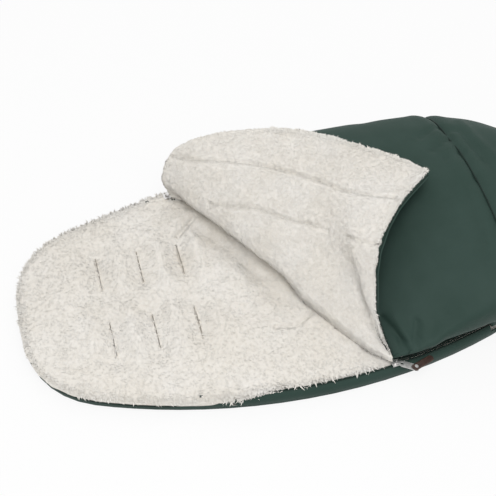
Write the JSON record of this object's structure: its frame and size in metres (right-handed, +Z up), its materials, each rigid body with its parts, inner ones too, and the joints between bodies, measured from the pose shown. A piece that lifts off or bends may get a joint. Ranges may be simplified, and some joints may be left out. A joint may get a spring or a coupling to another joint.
{
  "type": "stroller footmuff",
  "caption": "Padded stroller footmuff with a pile fleece lining, harness slots and an arched zip-up cover that lies folded open at one corner, with metal zip pulls and leather tabs.",
  "frame": {"origin": "on the floor under the middle of the back's length and width, on the seat grip patch", "axes": "+X from the head end to the toe end, -Y the near zip with the folded-open corner, +Z up from the floor"},
  "size_m": [1.0172, 0.49, 0.2031],
  "materials": {
    "fleece": "short clumpy pile fleece",
    "green_shell": "matt woven shell",
    "wadding": "soft polyester wadding",
    "zip_tape": "dark woven tape and coil",
    "metal": "plain satin metal",
    "leather": "smooth dark brown leather",
    "rubber": "matt grip rubber"
  },
  "bodies": {
    "back_and_cover": {"grip_patch_head": "rubber", "grip_patch_back": "rubber", "grip_patch_seat": "rubber", "grip_patch_foot": "rubber", "base_shell": "green_shell", "base_wadding": "wadding", "base_lining": "fleece", "slot_binding_upper_near": "fleece", "slot_binding_upper_far": "fleece", "slot_binding_middle_near": "fleece", "slot_binding_middle_far": "fleece", "slot_binding_lower_near": "fleece", "slot_binding_lower_far": "fleece", "slot_binding_crotch": "fleece", "cover_shell": "green_shell", "toe_panel_shell": "green_shell", "cover_wadding": "wadding", "cover_lining": "fleece", "head_piping": "zip_tape", "toe_piping": "zip_tape", "toe_seam_piping": "zip_tape", "base_zip_tape_near": "green_shell", "cover_zip_tape_near": "zip_tape", "base_zip_coil_near": "zip_tape", "cover_zip_coil_near": "zip_tape", "zip_stop_near": "metal", "zip_box_near": "metal", "base_zip_tape_far": "green_shell", "cover_zip_tape_far": "zip_tape", "base_zip_coil_far": "zip_tape", "cover_zip_coil_far": "zip_tape", "zip_stop_far": "metal", "zip_box_far": "metal"},
    "fold_band": {"fold_lining": "fleece", "fold_wadding": "wadding", "fold_shell": "green_shell"},
    "flap": {"flap_lining": "fleece", "flap_wadding": "wadding", "flap_shell": "green_shell", "flap_hem_binding": "green_shell", "flap_zip_tape": "zip_tape", "flap_zip_coil": "zip_tape"},
    "slider_near": {"slider_near": "metal"},
    "pull_near": {"pull_near": "metal", "rivet_near": "metal"},
    "tab_near": {"leather_tab_near": "leather"},
    "slider_far": {"slider_far": "metal"},
    "pull_far": {"pull_far": "metal", "rivet_far": "metal"},
    "tab_far": {"leather_tab_far": "leather"}
  },
  "joints": [
    {"name": "cover_fold_lower", "type": "hinge", "parent": "back_and_cover", "child": "fold_band", "pos_m": [0.051, -0.215, 0.044], "axis": [0.5404, -0.8414, 0], "range_deg": [0, 36]},
    {"name": "cover_fold_upper", "type": "hinge", "parent": "fold_band", "child": "flap", "pos_m": [0.055, -0.212, 0.066], "axis": [0.4969, -0.8562, -0.1414], "range_deg": [0, 120]},
    {"name": "slider_near_travel", "type": "hinge", "parent": "back_and_cover", "child": "slider_near", "pos_m": [-0.04505, 0.819, 0.029], "axis": [0, 0, 1], "range_deg": [-16.8, 9.8]},
    {"name": "pull_near_swing", "type": "hinge", "parent": "slider_near", "child": "pull_near", "pos_m": [0.05999, -0.21569, 0.0334], "axis": [-0.488, -0.8729, 0], "range_deg": [0, 8]},
    {"name": "tab_near_turn", "type": "hinge", "parent": "pull_near", "child": "tab_near", "pos_m": [0.08872, -0.23175, 0.0311], "axis": [0.0609, -0.034, 0.9976], "range_deg": [-150, 5]},
    {"name": "slider_far_travel", "type": "hinge", "parent": "back_and_cover", "child": "slider_far", "pos_m": [-0.04505, -0.819, 0.029], "axis": [0, 0, -1], "range_deg": [-1.4, 25.2]},
    {"name": "pull_far_swing", "type": "hinge", "parent": "slider_far", "child": "pull_far", "pos_m": [-0.21833, 0.20646, 0.0334], "axis": [0.702, -0.7121, 0], "range_deg": [0, 8]},
    {"name": "tab_far_turn", "type": "hinge", "parent": "pull_far", "child": "tab_far", "pos_m": [-0.19489, 0.22957, 0.0311], "axis": [-0.0497, -0.049, -0.9976], "range_deg": [-150, 5]}
  ],
  "couplings": [
    {"joint": "cover_fold_lower", "follows": "cover_fold_upper", "ratio": 0.3}
  ]
}
